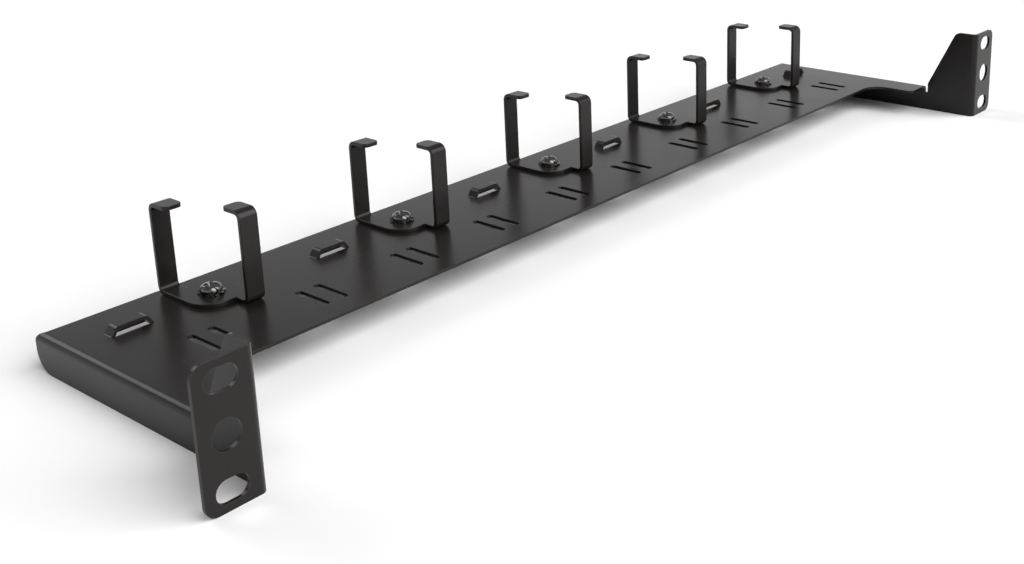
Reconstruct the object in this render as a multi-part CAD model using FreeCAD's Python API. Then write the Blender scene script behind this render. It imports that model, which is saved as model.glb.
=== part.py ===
import FreeCAD, Part
import math
import os

# Horizontal cable manager, 1U, for a 19 inch rack. Millimetres, X along the rack, Y back, Z up.
# The ears' front faces lie on Y = 0 while building, and save() moves the whole to its own middle.

Vector = FreeCAD.Vector
up = Vector(0, 0, 1)

# Cutters reach this far past the faces that they go through
overcut = 1.0

# Rack standard
panelWidth = 482.6
holeInset = 8.75
slotRows = 31.75
earHeight = 43.7
holeColumns = panelWidth - 2 * holeInset

# Tray sheet
traySheet = 1.2
trayBendInside = 1.3
trayDepth = 116.6
plateTop = 13.0
earWidth = 18.5
flangeReach = 2.2
flangeRearBottom = 7.5
trayBend = trayBendInside + traySheet
plateBottom = plateTop - traySheet
flangeSpan = panelWidth - 2 * earWidth
flangeOuter = flangeSpan / 2
flangeInner = flangeOuter - traySheet
flangeRear = trayDepth + flangeReach

# Front cut-out of the plate and the ledges that run along the flanges
plateFront = 50.9
ledgeWidth = 16.6
ledgeFront = 27.4
cutoutRadius = 9.0
ledgeRadius = 3.0
ledgeInner = flangeOuter - ledgeWidth

# Gussets between flange and ear
reliefWidth = 1.4
reliefDrop = 1.2
gussetFootHeight = 14.3
gussetTopLength = 11.3
gussetRadius = 4.0

# Ears
earRadius = 4.0
slotWidth = 7.0
slotLength = 10.5
centreHole = 9.3

# Tie slots in the plate. Each row's margin runs from the flange's outer face to the row's end.
pairCount = 10
pairMargin = 32.45
pairGap = 7.7
tieSlotLength = 16.8
tieSlotWidth = 3.0
tieSlotMiddle = 68.7
tieSlotSides = 4
pairPitch = (flangeSpan - 2 * pairMargin) / (pairCount - 1)

# Tie bridges and rings share one row near the back
rowInset = 19.0
bridgeCount = 6
bridgeMargin = 20.55
bridgeLength = 15.0
bridgeWidth = 4.2
bridgeRaise = 3.0
bridgeSlope = 2.0
bridgeKerf = 0.3
bridgeRadius = 0.8
bridgeTuck = 1.4
rowLine = trayDepth - rowInset
bridgePitch = (flangeSpan - 2 * bridgeMargin) / (bridgeCount - 1)

# Rings
ringCount = 5
ringMargin = 51.4
ringSheet = 1.5
ringBendInside = 1.5
ringHeight = 33.2
ringSpan = 34.0
armWidth = 7.0
armOffset = 6.0
tabLength = 10.0
tabRadius = 2.0
baseDepth = 20.8
lobeRadius = 8.5
ringPitch = (flangeSpan - 2 * ringMargin) / (ringCount - 1)
ringBend = ringBendInside + ringSheet
baseHalfWidth = armOffset + armWidth / 2

# Fasteners, M4
threadRadius = 1.95
ringHoleClearance = 0.35
trayHoleClearance = 0.2
washerClearance = 0.2
nutClearance = 0.05
screwLength = 8.0
headRadius = 3.9
headHeight = 2.4
headChamfer = 1.2
headSides = 18
recessLength = 4.4
recessWidth = 0.9
recessDepth = 1.5
washerRadius = 4.8
washerSheet = 0.8
toothCount = 10
toothDepth = 1.3
toothTip = 0.62
toothRoot = 0.86
nutFlats = 7.0
nutHeight = 3.2


def outline(corners, origin, along, across):
    # Closed wire through (u, v, radius) corners, in the plane of the two directions.
    points = [origin + along * u + across * v for u, v, radius in corners]
    count = len(points)
    edges = []
    joints = []
    for index in range(count):
        corner = points[index]
        radius = corners[index][2]
        back = (points[index - 1] - corner).normalize()
        ahead = (points[(index + 1) % count] - corner).normalize()
        if radius == 0:
            joints.append((corner, corner))
            continue
        half = back.getAngle(ahead) / 2
        middle = (back + ahead).normalize()
        start = corner + back * (radius / math.tan(half))
        end = corner + ahead * (radius / math.tan(half))
        crown = corner + middle * (radius / math.sin(half) - radius)
        edges.append(Part.Arc(start, crown, end).toShape())
        joints.append((start, end))
    for index in range(count):
        start = joints[index - 1][1]
        end = joints[index][0]
        if (end - start).Length > 1e-6:
            edges.append(Part.makeLine(start, end))
    return Part.Wire(Part.__sortEdges__(edges))


def sheetFrom(corners, origin, along, across, thickness):
    # Flat blank: the outline filled and thickened by the thickness vector.
    return Part.Face(outline(corners, origin, along, across)).extrude(thickness)


def bendFrom(centre, first, second, outside, inside, run):
    # Quarter bend between the two directions, swept along the run vector.
    middle = (first + second).normalize()
    outer = Part.Arc(centre + first * outside, centre + middle * outside, centre + second * outside)
    inner = Part.Arc(centre + second * inside, centre + middle * inside, centre + first * inside)
    near = Part.makeLine(centre + first * inside, centre + first * outside)
    far = Part.makeLine(centre + second * outside, centre + second * inside)
    wire = Part.Wire([outer.toShape(), far, inner.toShape(), near])
    return Part.Face(wire).extrude(run)


def slotCutter(centre, length, width, along, across, depth):
    # Round-ended slot, its length along the first direction.
    side = across * (width / 2)
    edges = []
    for sign in (-1, 1):
        middle = centre + along * (sign * (length - width) / 2)
        crown = middle + along * (sign * width / 2)
        edges.append(Part.Arc(middle - side * sign, crown, middle + side * sign).toShape())
    edges.insert(1, Part.makeLine(edges[0].lastVertex().Point, edges[1].firstVertex().Point))
    edges.append(Part.makeLine(edges[2].lastVertex().Point, edges[0].firstVertex().Point))
    return Part.Face(Part.Wire(edges)).extrude(depth)


def polygon(sides, radius, height):
    # Level wire of equal straight sides, its first corner on +X.
    points = []
    for index in range(sides + 1):
        angle = 2 * math.pi * index / sides
        points.append(Vector(radius * math.cos(angle), radius * math.sin(angle), height))
    return Part.makePolygon(points)


def spread(count, pitch):
    return [(index - (count - 1) / 2) * pitch for index in range(count)]


def plate():
    x = Vector(1, 0, 0)
    y = Vector(0, 1, 0)
    bendStart = flangeOuter - trayBend
    right = [
        (bendStart, trayDepth, 0),
        (bendStart, ledgeFront, 0),
        (ledgeInner, ledgeFront, ledgeRadius),
        (ledgeInner, plateFront, cutoutRadius),
    ]
    left = [(-u, v, radius) for u, v, radius in reversed(right)]
    return sheetFrom(right + left, Vector(0, 0, plateBottom), x, y, up * traySheet)


def flange(side):
    # Flange and gusset are one flat piece, parted from the ledge's bend by the relief.
    y = Vector(0, 1, 0)
    bendLine = plateTop - trayBend
    reliefFloor = bendLine - reliefDrop
    reliefFront = ledgeFront - reliefWidth
    corners = [
        (trayBend, 0, 0),
        (flangeRear, 0, flangeRearBottom),
        (flangeRear, bendLine, 0),
        (ledgeFront, bendLine, 0),
        (ledgeFront, reliefFloor, 0),
        (reliefFront, reliefFloor, 0),
        (reliefFront, gussetFootHeight, 0),
        (gussetTopLength, earHeight, gussetRadius),
        (trayBend, earHeight, 0),
    ]
    return sheetFrom(corners, Vector(side * flangeInner, 0, 0), y, up, Vector(side * traySheet, 0, 0))


def plateBend(side):
    # The blank widens towards the rear of the flange, so the bend's rear end is slanted.
    outward = Vector(side, 0, 0)
    bendStart = flangeOuter - trayBend
    centre = Vector(side * bendStart, ledgeFront, plateTop - trayBend)
    run = Vector(0, flangeRear - ledgeFront, 0)
    bend = bendFrom(centre, up, outward, trayBend, trayBendInside, run)
    waste = [
        (bendStart, trayDepth, 0),
        (flangeOuter, flangeRear, 0),
        (flangeOuter, flangeRear + overcut, 0),
        (bendStart, flangeRear + overcut, 0),
    ]
    return bend.cut(sheetFrom(waste, Vector(0, 0, 0), outward, Vector(0, 1, 0), up * plateTop))


def earBend(side):
    centre = Vector(side * (flangeInner + trayBend), trayBend, 0)
    run = up * earHeight
    return bendFrom(centre, Vector(-side, 0, 0), Vector(0, -1, 0), trayBend, trayBendInside, run)


def ear(side):
    along = Vector(side, 0, 0)
    thickness = Vector(0, traySheet, 0)
    corners = [
        (flangeInner + trayBend, 0, 0),
        (panelWidth / 2, 0, earRadius),
        (panelWidth / 2, earHeight, earRadius),
        (flangeInner + trayBend, earHeight, 0),
    ]
    blank = sheetFrom(corners, Vector(0, 0, 0), along, up, thickness)
    middle = Vector(side * holeColumns / 2, -overcut, earHeight / 2)
    through = Vector(0, traySheet + 2 * overcut, 0)
    cutters = [Part.makeCylinder(centreHole / 2, through.Length, middle, through)]
    for row in (-0.5, 0.5):
        centre = middle + up * (row * slotRows)
        cutters.append(slotCutter(centre, slotLength, slotWidth, along, up, through))
    return blank.cut(cutters)


def tieSlot(x):
    # The many small slots have their half-round ends drawn with a few straight sides each.
    radius = tieSlotWidth / 2
    points = []
    for end in (1, -1):
        middle = Vector(x, tieSlotMiddle + end * (tieSlotLength / 2 - radius), plateBottom - overcut)
        for index in range(tieSlotSides + 1):
            angle = math.pi * index / tieSlotSides
            points.append(middle + Vector(math.cos(angle), math.sin(angle), 0) * (end * radius))
    return Part.Face(Part.makePolygon(points + points[:1])).extrude(up * (traySheet + 2 * overcut))


def tieSlots():
    return [tieSlot(pair + one) for pair in spread(pairCount, pairPitch) for one in spread(2, pairGap)]


def bridgeOpening(x):
    half = bridgeLength / 2
    side = bridgeWidth / 2 + bridgeKerf
    corners = [(-half, -side, 0), (half, -side, 0), (half, side, 0), (-half, side, 0)]
    origin = Vector(x, rowLine, plateBottom - overcut)
    return sheetFrom(corners, origin, Vector(1, 0, 0), Vector(0, 1, 0), up * (traySheet + 2 * overcut))


def bridge(x):
    # Raised strip left standing between two cuts, its ends still part of the plate.
    half = bridgeLength / 2
    crown = half - bridgeSlope
    end = half + bridgeTuck
    inset = traySheet * math.tan(math.atan2(bridgeRaise, bridgeSlope) / 2)
    wide = bridgeRadius + traySheet
    upper = [
        (-end, traySheet, 0),
        (-half, traySheet, bridgeRadius),
        (-crown, traySheet + bridgeRaise, wide),
        (crown, traySheet + bridgeRaise, wide),
        (half, traySheet, bridgeRadius),
        (end, traySheet, 0),
    ]
    lower = [
        (end, 0, 0),
        (half - inset, 0, wide),
        (crown - inset, bridgeRaise, bridgeRadius),
        (inset - crown, bridgeRaise, bridgeRadius),
        (inset - half, 0, wide),
        (-end, 0, 0),
    ]
    origin = Vector(x, rowLine - bridgeWidth / 2, plateBottom)
    return sheetFrom(upper + lower, origin, Vector(1, 0, 0), up, Vector(0, bridgeWidth, 0))


def tray():
    pieces = []
    for side in (-1, 1):
        pieces += [plateBend(side), flange(side), earBend(side), ear(side)]
    holes = tieSlots()
    for x in spread(bridgeCount, bridgePitch):
        holes.append(bridgeOpening(x))
        pieces.append(bridge(x))
    for x in spread(ringCount, ringPitch):
        holes.append(Part.makeCylinder(threadRadius + trayHoleClearance, plateTop, Vector(x, rowLine, 0)))
    return plate().cut(holes).fuse(pieces).removeSplitter()


def arm():
    # Front arm of a ring: foot, upright and inward tab, folded from one strip.
    reach = ringSpan / 2
    inside = reach - ringSheet
    foot = baseDepth / 2 - ringSheet
    corners = [
        (-foot, 0, 0),
        (-reach, 0, ringBend),
        (-reach, ringHeight, ringBend),
        (tabLength - reach, ringHeight, 0),
        (tabLength - reach, ringHeight - ringSheet, 0),
        (-inside, ringHeight - ringSheet, ringBendInside),
        (-inside, ringSheet, ringBendInside),
        (-foot, ringSheet, 0),
    ]
    origin = Vector(armOffset - armWidth / 2, 0, 0)
    strip = sheetFrom(corners, origin, Vector(0, 1, 0), up, Vector(armWidth, 0, 0))
    tip = [edge for edge in strip.Edges if isTipCorner(edge)]
    return strip.makeFillet(tabRadius, tip)


def isTipCorner(edge):
    middle = edge.CenterOfMass
    onTip = abs(middle.y - (tabLength - ringSpan / 2)) < 0.01
    upright = abs(edge.Vertexes[0].Z - edge.Vertexes[-1].Z) > ringSheet / 2
    return onTip and upright


def ring(x):
    # Both arms are the same, half a turn apart, so the rear one stands to the left.
    depth = baseDepth / 2
    corners = [
        (-baseHalfWidth, -depth, lobeRadius),
        (baseHalfWidth, -depth, 0),
        (baseHalfWidth, depth, lobeRadius),
        (-baseHalfWidth, depth, 0),
    ]
    base = sheetFrom(corners, Vector(0, 0, 0), Vector(1, 0, 0), Vector(0, 1, 0), up * ringSheet)
    front = arm()
    rear = front.copy()
    rear.rotate(Vector(0, 0, 0), up, 180)
    hole = Part.makeCylinder(threadRadius + ringHoleClearance, ringSheet)
    whole = base.fuse([front, rear]).cut(hole).removeSplitter()
    whole.translate(Vector(x, rowLine, plateTop))
    return whole


def lockWasher(x):
    # External teeth, each with a straight tip and parted by a notch that narrows inwards.
    root = washerRadius - toothDepth
    points = []
    for index in range(toothCount):
        for radius, share in ((root, -toothRoot), (washerRadius, -toothTip), (washerRadius, toothTip), (root, toothRoot)):
            angle = 2 * math.pi * (index + share / 2) / toothCount
            points.append(Vector(radius * math.cos(angle), radius * math.sin(angle), 0))
    body = Part.Face(Part.makePolygon(points + points[:1])).extrude(up * washerSheet)
    washer = body.cut(Part.makeCylinder(threadRadius + washerClearance, washerSheet))
    washer.translate(Vector(x, rowLine, plateTop + ringSheet))
    return washer


def crossRecess():
    # Four-winged well with sloped wing ends; the fine form of the recess is left out.
    floor = headHeight - recessDepth
    top = recessLength / 2
    bottom = recessWidth / 2
    wing = [
        Vector(-bottom, -recessWidth / 2, floor),
        Vector(bottom, -recessWidth / 2, floor),
        Vector(top, -recessWidth / 2, headHeight),
        Vector(-top, -recessWidth / 2, headHeight),
    ]
    first = Part.Face(Part.makePolygon(wing + wing[:1])).extrude(Vector(0, recessWidth, 0))
    second = first.copy()
    second.rotate(Vector(0, 0, 0), up, 90)
    return first.fuse(second)


def screw(x):
    # Pan head with few sides: straight rim, then a shoulder that slopes up to the flat crown.
    prism = Part.Face(polygon(headSides, headRadius, 0)).extrude(up * headHeight)
    crown = [edge for edge in prism.Edges if edge.BoundBox.ZMin > headHeight / 2]
    head = prism.makeChamfer(headChamfer, crown)
    shank = Part.makeCylinder(threadRadius, screwLength, Vector(0, 0, -screwLength))
    whole = head.fuse(shank).cut(crossRecess()).removeSplitter()
    whole.translate(Vector(x, rowLine, plateTop + ringSheet + washerSheet))
    return whole


def nut(x):
    prism = Part.Face(polygon(6, nutFlats / math.sqrt(3), 0)).extrude(up * nutHeight)
    whole = prism.cut(Part.makeCylinder(threadRadius + nutClearance, nutHeight))
    whole.translate(Vector(x, rowLine, plateBottom - nutHeight))
    return whole


def save(name, shape):
    # The whole stands with its own middle over the origin.
    placed = shape.copy()
    placed.translate(Vector(0, -flangeRear / 2, 0))
    if len(placed.Solids) != 1 or not placed.isValid():
        raise RuntimeError(name + " is not one valid solid")
    placed.Solids[0].exportStep(os.path.join("parts", name + ".step"))


os.makedirs("parts", exist_ok=True)
save("tray", tray())
for number, place in enumerate(spread(ringCount, ringPitch), start=1):
    save("ring_%d" % number, ring(place))
    save("lock_washer_%d" % number, lockWasher(place))
    save("screw_%d" % number, screw(place))
    save("nut_%d" % number, nut(place))
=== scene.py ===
import bmesh
import bpy
import math
from mathutils import Matrix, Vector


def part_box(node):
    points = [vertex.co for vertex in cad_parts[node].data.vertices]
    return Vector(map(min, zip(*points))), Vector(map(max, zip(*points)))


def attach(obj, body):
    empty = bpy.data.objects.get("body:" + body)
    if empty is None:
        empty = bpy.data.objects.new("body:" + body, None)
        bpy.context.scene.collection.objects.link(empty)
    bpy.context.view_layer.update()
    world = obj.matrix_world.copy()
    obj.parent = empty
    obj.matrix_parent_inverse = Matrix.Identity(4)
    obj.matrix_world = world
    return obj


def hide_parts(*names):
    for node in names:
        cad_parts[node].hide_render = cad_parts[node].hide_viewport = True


# A folded steel rack tray with five open cable rings, each held by a screw, washer and nut.
# All lengths are metres. Settings that read better in millimetres are written with mm.

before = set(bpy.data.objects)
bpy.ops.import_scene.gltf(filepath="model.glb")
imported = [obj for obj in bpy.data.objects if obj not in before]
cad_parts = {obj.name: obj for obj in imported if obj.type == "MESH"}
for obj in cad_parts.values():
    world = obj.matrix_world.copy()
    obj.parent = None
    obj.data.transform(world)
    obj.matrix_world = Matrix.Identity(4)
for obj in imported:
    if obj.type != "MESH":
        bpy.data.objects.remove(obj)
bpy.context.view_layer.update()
bpy.ops.object.select_all(action="DESELECT")
mm = 0.001
hair = 0.001 * mm    # heights closer than this are the same height
looksAlong = 0.5     # a face looks along an axis when its normal has more than this on it
ringNumbers = range(1, 6)
print("frame loaded:", len(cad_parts), "nodes")


def editMode():
    bpy.ops.object.mode_set(mode="EDIT")


def objectMode():
    bpy.ops.object.mode_set(mode="OBJECT")


def makeActive(piece):
    bpy.ops.object.select_all(action="DESELECT")
    piece.select_set(True)
    bpy.context.view_layer.objects.active = piece


def newest(name):
    # names what an operator has just added
    piece = bpy.context.object
    piece.name = name
    piece.data.name = name
    return piece


def selectOnly(kind, wanted):
    # wanted(element) says which faces or edges of the mesh in edit mode are picked
    bpy.ops.mesh.select_mode(type=kind)
    bpy.ops.mesh.select_all(action="DESELECT")
    data = bpy.context.object.data
    mesh = bmesh.from_edit_mesh(data)
    for element in (mesh.faces if kind == "FACE" else mesh.edges):
        if wanted(element):
            element.select_set(True)
    bmesh.update_edit_mesh(data)


def levelAt(height):
    # picks the edges that lie at one height
    return lambda edge: all(abs(corner.co.z - height) < hair for corner in edge.verts)


def pointNormalsOut():
    bpy.ops.mesh.select_all(action="SELECT")
    bpy.ops.mesh.normals_make_consistent(inside=False)


def applyModifier(piece, kind, **settings):
    makeActive(piece)
    modifier = piece.modifiers.new(kind.lower(), kind)
    for name, value in settings.items():
        setattr(modifier, name, value)
    bpy.ops.object.modifier_apply(modifier=modifier.name)


def carve(piece, cutter, operation="DIFFERENCE"):
    applyModifier(piece, "BOOLEAN", operation=operation, object=cutter, solver="EXACT")
    bpy.data.objects.remove(cutter)


def settle(piece):
    # the place goes into the mesh, and the object ends at the origin
    makeActive(piece)
    bpy.ops.object.transform_apply(location=True, rotation=True, scale=True)


def settleNewest(name):
    piece = newest(name)
    settle(piece)
    return piece


def copyTo(master, name, place, turn):
    makeActive(master)
    bpy.ops.object.duplicate(linked=False)
    piece = newest(name)
    piece.location = place
    piece.rotation_euler.z = math.radians(turn)
    settle(piece)
    return piece


def addRod(name, radius, low, high, sides):
    bpy.ops.mesh.primitive_cylinder_add(vertices=sides, radius=radius, depth=high - low,
                                        location=(0, 0, (low + high) / 2))
    return settleNewest(name)


def addCone(name, lowRadius, highRadius, middle, depth, sides):
    bpy.ops.mesh.primitive_cone_add(vertices=sides, radius1=lowRadius, radius2=highRadius,
                                    depth=depth, location=(0, 0, middle))
    return settleNewest(name)


def addBlock(name, size, place):
    bpy.ops.mesh.primitive_cube_add(size=1, location=place)
    piece = newest(name)
    piece.scale = size
    settle(piece)
    return piece


def bevelEdges(piece, wanted, width, segments):
    makeActive(piece)
    editMode()
    selectOnly("EDGE", wanted)
    bpy.ops.mesh.bevel(offset=width, segments=segments, affect="EDGES")
    objectMode()


def joinTo(piece, other):
    makeActive(piece)
    other.select_set(True)
    bpy.ops.object.join()


edgeLook = {"segments": 2, "bevelMargin": 5}    # degrees past the smooth limit


def softEdges(piece, width, smoothBelow):
    # rounds the sharp edges and keeps the flats flat
    makeActive(piece)
    bpy.ops.object.shade_smooth_by_angle(angle=math.radians(smoothBelow))
    applyModifier(piece, "BEVEL", width=width, segments=edgeLook["segments"],
                  limit_method="ANGLE", harden_normals=True,
                  angle_limit=math.radians(smoothBelow + edgeLook["bevelMargin"]))
    applyModifier(piece, "WEIGHTED_NORMAL", keep_sharp=True)


def grey(level):
    return (level, level, level, 1.0)


def addNode(tree, kind, values=None, **settings):
    made = tree.nodes.new(kind)
    for name, value in settings.items():
        setattr(made, name, value)
    for name, value in (values or {}).items():
        made.inputs[name].default_value = value
    return made


def addGroup(tree, group, values):
    return addNode(tree, "ShaderNodeGroup", values, node_tree=group)


def newGroup(name, inputs, outputs):
    tree = bpy.data.node_groups.new(name, "ShaderNodeTree")
    for label, value in inputs.items():
        socket = tree.interface.new_socket(label, in_out="INPUT", socket_type="NodeSocketFloat")
        socket.default_value = value
    for label in outputs:
        tree.interface.new_socket(label, in_out="OUTPUT", socket_type="NodeSocketFloat")
    return tree, tree.nodes.new("NodeGroupInput"), tree.nodes.new("NodeGroupOutput")


def noiseOf(tree, scale, detail, roughness=0.5):
    place = addNode(tree, "ShaderNodeTexCoord")
    noise = addNode(tree, "ShaderNodeTexNoise", {"Detail": detail, "Roughness": roughness})
    tree.links.new(place.outputs["Object"], noise.inputs["Vector"])
    tree.links.new(scale, noise.inputs["Scale"])
    return noise.outputs["Fac"]


def rangeOf(tree, value, old, new=(0.0, 1.0)):
    # stretches the old range of the value to the new one
    limits = {"From Min": old[0], "From Max": old[1], "To Min": new[0], "To Max": new[1]}
    mapped = addNode(tree, "ShaderNodeMapRange", limits)
    tree.links.new(value, mapped.inputs["Value"])
    return mapped.outputs["Result"]


grainLook = {
    "inputs": {"Skin Scale": 1500.0, "Cloud Scale": 18.0, "Speck Scale": 1500.0},
    "skinDetail": 2.0,
    "cloudDetail": 3.0,
    "cloudRange": (0.3, 0.7),
    "speckDetail": 1.0,
    "speckRange": (0.72, 0.8),
}


def makePowderGrain():
    # cured powder: a fine bumpy skin, slow cloudiness and a few dust specks
    look = grainLook
    tree, inlet, outlet = newGroup("powderGrain", look["inputs"], ["Skin", "Cloud", "Specks"])
    skin = noiseOf(tree, inlet.outputs["Skin Scale"], look["skinDetail"])
    cloud = noiseOf(tree, inlet.outputs["Cloud Scale"], look["cloudDetail"])
    speck = noiseOf(tree, inlet.outputs["Speck Scale"], look["speckDetail"])
    tree.links.new(skin, outlet.inputs["Skin"])
    tree.links.new(rangeOf(tree, cloud, look["cloudRange"]), outlet.inputs["Cloud"])
    tree.links.new(rangeOf(tree, speck, look["speckRange"]), outlet.inputs["Specks"])
    return tree


edgeMaskLook = {
    "inputs": {"Radius": 0.5 * mm, "Breakup Scale": 160.0},
    "samples": 6,
    "edgeRange": (0.995, 0.9),    # cosine between the rounded and the true normal
    "noiseDetail": 4.0,
    "noiseRoughness": 0.65,
    "noiseRange": (0.35, 0.6),
}


def makeEdgeMask():
    # a mask that is strong along edges, broken up by noise
    look = edgeMaskLook
    tree, inlet, outlet = newGroup("edgeMask", look["inputs"], ["Mask"])
    bevel = addNode(tree, "ShaderNodeBevel", samples=look["samples"])
    shape = addNode(tree, "ShaderNodeNewGeometry")
    dot = addNode(tree, "ShaderNodeVectorMath", operation="DOT_PRODUCT")
    tree.links.new(inlet.outputs["Radius"], bevel.inputs["Radius"])
    tree.links.new(bevel.outputs["Normal"], dot.inputs[0])
    tree.links.new(shape.outputs["Normal"], dot.inputs[1])
    edge = rangeOf(tree, dot.outputs["Value"], look["edgeRange"])
    noise = noiseOf(tree, inlet.outputs["Breakup Scale"], look["noiseDetail"],
                    look["noiseRoughness"])
    product = addNode(tree, "ShaderNodeMath", operation="MULTIPLY")
    tree.links.new(edge, product.inputs[0])
    tree.links.new(rangeOf(tree, noise, look["noiseRange"]), product.inputs[1])
    tree.links.new(product.outputs["Value"], outlet.inputs["Mask"])
    return tree


powderGrain = makePowderGrain()
edgeMask = makeEdgeMask()
print("shader groups made")


def newMaterial(name):
    material = bpy.data.materials.new(name)
    material.use_nodes = True
    return material, material.node_tree, material.node_tree.nodes["Principled BSDF"]


def mixColours(tree, share, first, second):
    # first and second are colours or sockets
    mix = addNode(tree, "ShaderNodeMix", data_type="RGBA")
    tree.links.new(share, mix.inputs["Factor"])
    for socket, colour in ((mix.inputs["A"], first), (mix.inputs["B"], second)):
        if isinstance(colour, tuple):
            socket.default_value = (*colour, 1.0)
        else:
            tree.links.new(colour, socket)
    return mix.outputs["Result"]


def bumpFrom(tree, height, look):
    values = {"Strength": look["skinStrength"], "Distance": look["skinDepth"]}
    bump = addNode(tree, "ShaderNodeBump", values)
    tree.links.new(height, bump.inputs["Height"])
    return bump.outputs["Normal"]


coatLook = {
    "deep": (0.0090, 0.0076, 0.0072),
    "pale": (0.0125, 0.0106, 0.0100),
    # lighter colour on the edges: partly coat worn thin, partly a painted edge highlight
    "thinCoatAndHighlight": (0.034, 0.032, 0.030),
    "dust": (0.030, 0.029, 0.028),
    "rough": (0.22, 0.29),
    "gloss": 0.25,
    "edgeBand": {"Radius": 0.45 * mm},
    "skinDepth": 0.03 * mm,
    "skinStrength": 0.8,
}


def makeBlackCoat():
    # satin black powder coat on the folded sheet
    look = coatLook
    material, tree, shader = newMaterial("blackCoat")
    shader.inputs["Specular IOR Level"].default_value = look["gloss"]
    grain = addGroup(tree, powderGrain, {})
    edgeBand = addGroup(tree, edgeMask, look["edgeBand"])
    body = mixColours(tree, grain.outputs["Cloud"], look["deep"], look["pale"])
    # the edges are lightened: partly coat worn thin, partly painted highlight
    brightEdged = mixColours(tree, edgeBand.outputs["Mask"], body, look["thinCoatAndHighlight"])
    dusty = mixColours(tree, grain.outputs["Specks"], brightEdged, look["dust"])
    rough = rangeOf(tree, grain.outputs["Cloud"], (0, 1), look["rough"])
    tree.links.new(dusty, shader.inputs["Base Color"])
    tree.links.new(rough, shader.inputs["Roughness"])
    tree.links.new(bumpFrom(tree, grain.outputs["Skin"], look), shader.inputs["Normal"])
    return material


zincLook = {
    "black": {
        "deep": (0.09, 0.088, 0.087),
        "pale": (0.17, 0.168, 0.165),
        "brightEdged": (0.36, 0.36, 0.36),
        "rough": (0.14, 0.22),
    },
    "bright": {
        "deep": (0.42, 0.43, 0.45),
        "pale": (0.62, 0.62, 0.63),
        "brightEdged": (0.75, 0.75, 0.75),
        "rough": (0.25, 0.4),
    },
    "grain": {"Skin Scale": 3000.0, "Cloud Scale": 350.0},
    "edgeBand": {"Radius": 0.2 * mm, "Breakup Scale": 700.0},
    "skinDepth": 0.003 * mm,
    "skinStrength": 0.3,
}


def makeZinc(name, look):
    # plated steel: cloudy plating, brighter on the edges
    material, tree, shader = newMaterial(name)
    shader.inputs["Metallic"].default_value = 1.0
    grain = addGroup(tree, powderGrain, zincLook["grain"])
    edgeBand = addGroup(tree, edgeMask, zincLook["edgeBand"])
    body = mixColours(tree, grain.outputs["Cloud"], look["deep"], look["pale"])
    edged = mixColours(tree, edgeBand.outputs["Mask"], body, look["brightEdged"])
    rough = rangeOf(tree, grain.outputs["Cloud"], (0, 1), look["rough"])
    tree.links.new(edged, shader.inputs["Base Color"])
    tree.links.new(rough, shader.inputs["Roughness"])
    tree.links.new(bumpFrom(tree, grain.outputs["Skin"], zincLook), shader.inputs["Normal"])
    return material


blackCoat = makeBlackCoat()
blackZinc = makeZinc("blackZinc", zincLook["black"])
brightZinc = makeZinc("brightZinc", zincLook["bright"])
print("materials made")


def finishPiece(piece, material, body, node):
    piece.data.materials.clear()
    piece.data.materials.append(material)
    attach(piece, body)
    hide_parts(node)


sheetLook = {
    "weld": 0.004 * mm,
    "flatWithin": 0.5,
    "edge": 0.22 * mm,
    "smoothBelow": 32,
}


def cleanSheet(node, name):
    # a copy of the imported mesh, welded, with its flats made whole again
    look = sheetLook
    piece = bpy.data.objects.new(name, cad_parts[node].data.copy())
    bpy.context.scene.collection.objects.link(piece)
    makeActive(piece)
    editMode()
    bpy.ops.mesh.select_all(action="SELECT")
    bpy.ops.mesh.remove_doubles(threshold=look["weld"])
    bpy.ops.mesh.dissolve_limited(angle_limit=math.radians(look["flatWithin"]))
    objectMode()
    softEdges(piece, look["edge"], look["smoothBelow"])
    return piece


tray = cleanSheet("tray", "tray_sheet")
finishPiece(tray, blackCoat, "tray", "tray")

for number in ringNumbers:
    ringName = "ring_%d" % number
    ring = cleanSheet(ringName, "ring_strip_%d" % number)
    finishPiece(ring, blackCoat, ringName, ringName)
print("sheets finished")


screwLook = {
    "headRadius": 3.75 * mm,
    "headSides": 48,
    "headDrop": 0.12 * mm,
    "rim": 0.15 * mm,
    "rimSteps": 2,
    "dome": 1.75 * mm,
    "domeSteps": 8,
    "crownRadius": 1.0 * mm,
    "crownRise": 0.12 * mm,
    "recessSpan": 5.5 * mm,
    "recessDepth": 1.7 * mm,
    "recessFoot": (0.35, 0.8, 1),
    "wing": 1.15 * mm,
    "wellTop": 1.45 * mm,
    "wellFoot": 0.5 * mm,
    "wellSides": 24,
    "cutterReach": 0.3 * mm,
    "coreRadius": 1.62 * mm,
    "coreSides": 32,
    "coreSunk": 0.3 * mm,
    "tip": 0.45 * mm,
    "tipSteps": 1,
    "threadFrom": 0.5 * mm,
    "threadSides": 4,
    "threadDepth": 0.3 * mm,
    "threadTurns": 7,
    "threadSteps": 20,
    "pitch": 0.7 * mm,
    "edge": 0.05 * mm,
    "smoothBelow": 33,
    "turns": (52, 48, 43, 38, 35),
}


def makeRecess(top):
    # a cross with sloped wing ends, and a round well where the wings meet
    look = screwLook
    depth = look["recessDepth"] + look["cutterReach"]
    middle = top + look["cutterReach"] - depth / 2
    cutters = []
    for turn in (0, 90):
        wing = addBlock("recessWing", (look["recessSpan"], look["wing"], depth), (0, 0, middle))
        makeActive(wing)
        editMode()
        selectOnly("FACE", lambda face: face.normal.z < -looksAlong)
        bpy.ops.transform.resize(value=look["recessFoot"])
        objectMode()
        wing.rotation_euler.z = math.radians(turn)
        settle(wing)
        cutters.append(wing)
    cutters.append(addCone("recessWell", look["wellFoot"], look["wellTop"], middle, depth,
                           look["wellSides"]))
    return cutters


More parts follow.
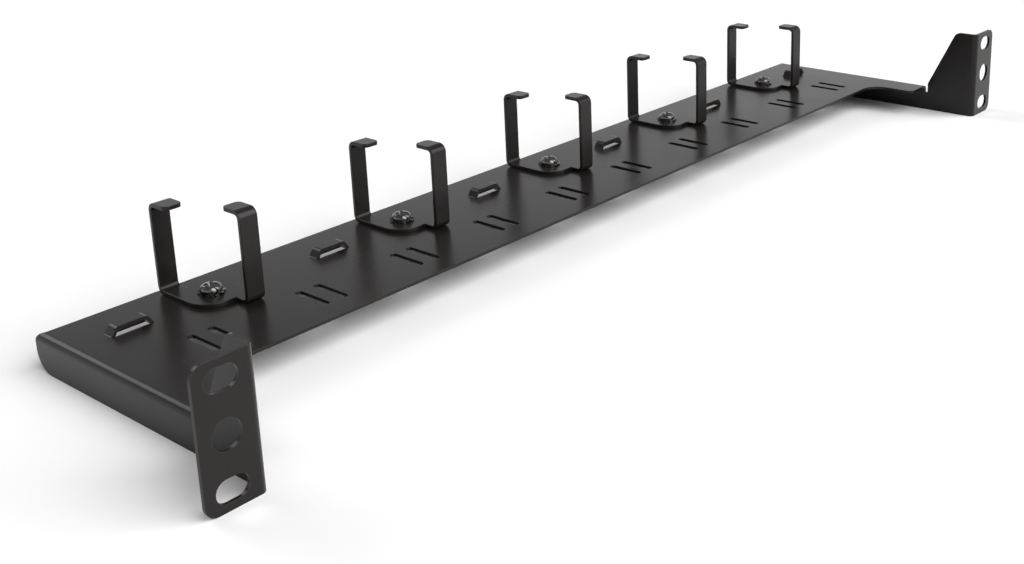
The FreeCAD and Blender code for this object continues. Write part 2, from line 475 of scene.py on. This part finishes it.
def makeThread(low):
    # a four-sided ridge wound round the core, its two ends drawn together to points
    look = screwLook
    bpy.ops.mesh.primitive_circle_add(vertices=look["threadSides"], radius=look["threadDepth"],
                                      location=(look["coreRadius"], 0, low),
                                      rotation=(math.radians(90), 0, 0))
    ridge = settleNewest("thread")
    applyModifier(ridge, "SCREW", axis="Z", screw_offset=look["pitch"],
                  iterations=look["threadTurns"], steps=look["threadSteps"],
                  render_steps=look["threadSteps"], use_merge_vertices=False)
    high = low + look["pitch"] * look["threadTurns"]

    def openEndNear(height):
        return lambda edge: edge.is_boundary and abs(
            (edge.verts[0].co.z + edge.verts[1].co.z) / 2 - height) < look["threadDepth"]

    editMode()
    for height in (low, high):
        selectOnly("EDGE", openEndNear(height))
        bpy.ops.mesh.merge(type="CENTER")
    pointNormalsOut()
    objectMode()
    return ridge


def makeScrew():
    # cross-recessed pan head on a threaded shank
    look = screwLook
    low, high = (corner.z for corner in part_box("screw_1"))
    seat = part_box("lock_washer_1")[1].z
    top = high - look["headDrop"]
    head = addRod("screwMaster", look["headRadius"], seat, top, look["headSides"])
    bevelEdges(head, levelAt(top), look["dome"], look["domeSteps"])
    bevelEdges(head, levelAt(seat), look["rim"], look["rimSteps"])
    makeActive(head)
    editMode()
    selectOnly("FACE", lambda face: face.normal.z > looksAlong
               and face.calc_center_median().z > top - hair)
    bpy.ops.mesh.inset(thickness=look["crownRadius"])
    bpy.ops.transform.translate(value=(0, 0, look["crownRise"]))
    objectMode()
    for cutter in makeRecess(top):
        carve(head, cutter)
    shank = addRod("shank", look["coreRadius"], low, seat + look["coreSunk"], look["coreSides"])
    bevelEdges(shank, levelAt(low), look["tip"], look["tipSteps"])
    carve(head, shank, "UNION")
    joinTo(head, makeThread(low + look["threadFrom"]))
    softEdges(head, look["edge"], look["smoothBelow"])
    return head


washerLook = {
    "root": 3.5 * mm,
    "rootSides": 60,
    "bore": 2.15 * mm,
    "boreSides": 40,
    "tip": 4.65 * mm,
    "sheet": 0.42 * mm,
    "teeth": 10,
    "toothSunk": 0.35 * mm,
    "toothWidth": 1.5 * mm,
    "tipWidth": 0.82,
    "twist": 13,
    "edge": 0.05 * mm,
    "smoothBelow": 33,
    "turns": (7, 14, 21, 28, 35),
}


def makeStarWasher():
    # a flat ring with teeth round it, each twisted to bite
    look = washerLook
    low, high = (corner.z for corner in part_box("lock_washer_1"))
    middle = (low + high) / 2
    sheet = look["sheet"]
    ring = addRod("washerMaster", look["root"], middle - sheet / 2, middle + sheet / 2,
                  look["rootSides"])
    carve(ring, addRod("bore", look["bore"], middle - 2 * sheet, middle + 2 * sheet,
                       look["boreSides"]))
    inner = look["root"] - look["toothSunk"]
    length = look["tip"] - inner
    tooth = addBlock("tooth", (length, look["toothWidth"], sheet), (inner + length / 2, 0, middle))
    makeActive(tooth)
    editMode()
    selectOnly("FACE", lambda face: face.normal.x > looksAlong)
    bpy.ops.transform.resize(value=(1, look["tipWidth"], 1))
    bpy.ops.mesh.select_all(action="SELECT")
    bpy.ops.transform.rotate(value=math.radians(look["twist"]), orient_axis="X",
                             center_override=(inner, 0, middle))
    copies = look["teeth"] - 1
    bpy.ops.mesh.spin(steps=copies, dupli=True, angle=copies * math.tau / look["teeth"],
                      center=(0, 0, 0), axis=(0, 0, 1))
    pointNormalsOut()
    objectMode()
    carve(ring, tooth, "UNION")
    softEdges(ring, look["edge"], look["smoothBelow"])
    return ring


nutLook = {
    "flats": 7.0 * mm,
    "sides": 6,
    "turn": 30,
    "corner": 0.42 * mm,
    "cornerSteps": 1,
    "turnedSpare": 0.05 * mm,
    "turnedSides": 64,
    "bore": 1.98 * mm,
    "boreSides": 40,
    "countersink": 0.35 * mm,
    "sinkInside": 0.0035 * mm,    # the cone's narrow end stands this far inside the bore's wall
    "edge": 0.06 * mm,
    "smoothBelow": 25,
    "turns": (0, 0, 0, 0, 0),
}


def makeNut():
    # a hexagon with its corners turned back on both faces and its bore countersunk
    look = nutLook
    low, high = (corner.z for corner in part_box("nut_1"))
    cornerRadius = look["flats"] / math.sqrt(3)
    nut = addRod("nutMaster", cornerRadius, low, high, look["sides"])
    nut.rotation_euler.z = math.radians(look["turn"])
    settle(nut)
    turned = addRod("turned", cornerRadius + look["turnedSpare"], low, high, look["turnedSides"])
    for height in (low, high):
        bevelEdges(turned, levelAt(height), look["corner"], look["cornerSteps"])
    carve(nut, turned, "INTERSECT")
    carve(nut, addRod("bore", look["bore"], low - mm, high + mm, look["boreSides"]))
    narrow = look["bore"] - look["sinkInside"]
    wide = narrow + 2 * look["countersink"]
    for height, below, above in ((low, wide, narrow), (high, narrow, wide)):
        carve(nut, addCone("sink", below, above, height, 2 * look["countersink"],
                           look["boreSides"]))
    softEdges(nut, look["edge"], look["smoothBelow"])
    return nut


fasteners = {
    "screw": (makeScrew(), "pan_screw", blackZinc, "black_zinc", screwLook["turns"]),
    "lock_washer": (makeStarWasher(), "star_washer", blackZinc, "black_zinc", washerLook["turns"]),
    "nut": (makeNut(), "hex_nut", brightZinc, "zinc", nutLook["turns"]),
}
for number in ringNumbers:
    low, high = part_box("nut_%d" % number)
    centre = (low + high) / 2
    for kind, (master, name, material, slot, turns) in fasteners.items():
        piece = copyTo(master, "%s_%d" % (name, number), (centre.x, centre.y, 0), turns[number - 1])
        finishPiece(piece, material, "tray", "%s_%d" % (kind, number))
for fastener in fasteners.values():
    bpy.data.objects.remove(fastener[0])
print("fasteners finished")


floorLook = {"size": 8.0, "seen": 0.97, "bounce": 0.7}


def whiteRays(tree):
    # camera, glossy and transmission rays together
    path = addNode(tree, "ShaderNodeLightPath")
    total = path.outputs["Is Camera Ray"]
    for name in ("Is Glossy Ray", "Is Transmission Ray"):
        both = addNode(tree, "ShaderNodeMath", operation="MAXIMUM")
        tree.links.new(total, both.inputs[0])
        tree.links.new(path.outputs[name], both.inputs[1])
        total = both.outputs["Value"]
    return total


def makeFloor():
    bpy.ops.mesh.primitive_plane_add(size=floorLook["size"], location=(0, 0, 0))
    floor = newest("floor")
    material, tree, shader = newMaterial("paleFloor")
    tree.nodes.remove(shader)
    seen = addNode(tree, "ShaderNodeBsdfDiffuse", {"Color": grey(floorLook["seen"])})
    bounced = addNode(tree, "ShaderNodeBsdfDiffuse", {"Color": grey(floorLook["bounce"])})
    mix = addNode(tree, "ShaderNodeMixShader")
    tree.links.new(whiteRays(tree), mix.inputs["Fac"])
    tree.links.new(bounced.outputs["BSDF"], mix.inputs[1])
    tree.links.new(seen.outputs["BSDF"], mix.inputs[2])
    tree.links.new(mix.outputs["Shader"], tree.nodes["Material Output"].inputs["Surface"])
    floor.data.materials.append(material)


lightLook = {
    "skyFill": 0.23,
    "backdrop": (1.0, 0.34),
    "fade": (0.29, 0.40),
    "key": {"power": 3.7, "turn": (52, 0, 14), "softness": 66},
    "back": {"power": 0.65, "turn": (54, 0, 188), "softness": 32},
}


def makeWorld():
    # a dim even fill, white to the camera, and in reflections a backdrop that darkens upwards
    world = bpy.data.worlds.new("studio")
    bpy.context.scene.world = world
    world.use_nodes = True
    tree = world.node_tree
    fill = tree.nodes["Background"]
    fill.inputs["Color"].default_value = grey(1.0)
    fill.inputs["Strength"].default_value = lightLook["skyFill"]
    place = addNode(tree, "ShaderNodeTexCoord")
    split = addNode(tree, "ShaderNodeSeparateXYZ")
    tree.links.new(place.outputs["Generated"], split.inputs["Vector"])
    level = rangeOf(tree, split.outputs["Z"], lightLook["fade"], lightLook["backdrop"])
    backdrop = addNode(tree, "ShaderNodeBackground", {"Color": grey(1.0)})
    tree.links.new(level, backdrop.inputs["Strength"])
    white = addNode(tree, "ShaderNodeBackground", {"Color": grey(1.0), "Strength": 1.0})
    path = addNode(tree, "ShaderNodeLightPath")
    last = fill.outputs["Background"]
    rays = (("Is Glossy Ray", backdrop), ("Is Transmission Ray", white), ("Is Camera Ray", white))
    for ray, shader in rays:
        mix = addNode(tree, "ShaderNodeMixShader")
        tree.links.new(path.outputs[ray], mix.inputs["Fac"])
        tree.links.new(last, mix.inputs[1])
        tree.links.new(shader.outputs["Background"], mix.inputs[2])
        last = mix.outputs["Shader"]
    tree.links.new(last, tree.nodes["World Output"].inputs["Surface"])


def makeLamp(name):
    look = lightLook[name]
    turn = [math.radians(angle) for angle in look["turn"]]
    bpy.ops.object.light_add(type="SUN", rotation=turn)
    lamp = newest(name)
    lamp.data.energy = look["power"]
    lamp.data.angle = math.radians(look["softness"])


cameraLook = {
    "place": (-0.40121, -0.32998, 0.19163),
    "turn": -51.33,
    "climb": 16.1,
    "roll": -0.97,
    "lens": 45.83,
    "sensor": 36,
    "shift": (-0.1177, -0.16),
    "clipStart": 0.01,
}


def makeCamera():
    look = cameraLook
    bpy.ops.object.camera_add(location=look["place"])
    camera = newest("camera")
    turn = Matrix.Rotation(math.radians(look["turn"]), 4, "Z")
    tilt = Matrix.Rotation(math.radians(90 - look["climb"]), 4, "X")
    roll = Matrix.Rotation(math.radians(look["roll"]), 4, "Z")
    camera.matrix_world = Matrix.Translation(look["place"]) @ turn @ tilt @ roll
    camera.data.lens = look["lens"]
    camera.data.sensor_width = look["sensor"]
    camera.data.shift_x, camera.data.shift_y = look["shift"]
    camera.data.clip_start = look["clipStart"]
    bpy.context.scene.camera = camera


makeFloor()
makeWorld()
makeLamp("key")
makeLamp("back")
makeCamera()
bpy.context.scene.view_settings.view_transform = "Standard"
print("stage set")
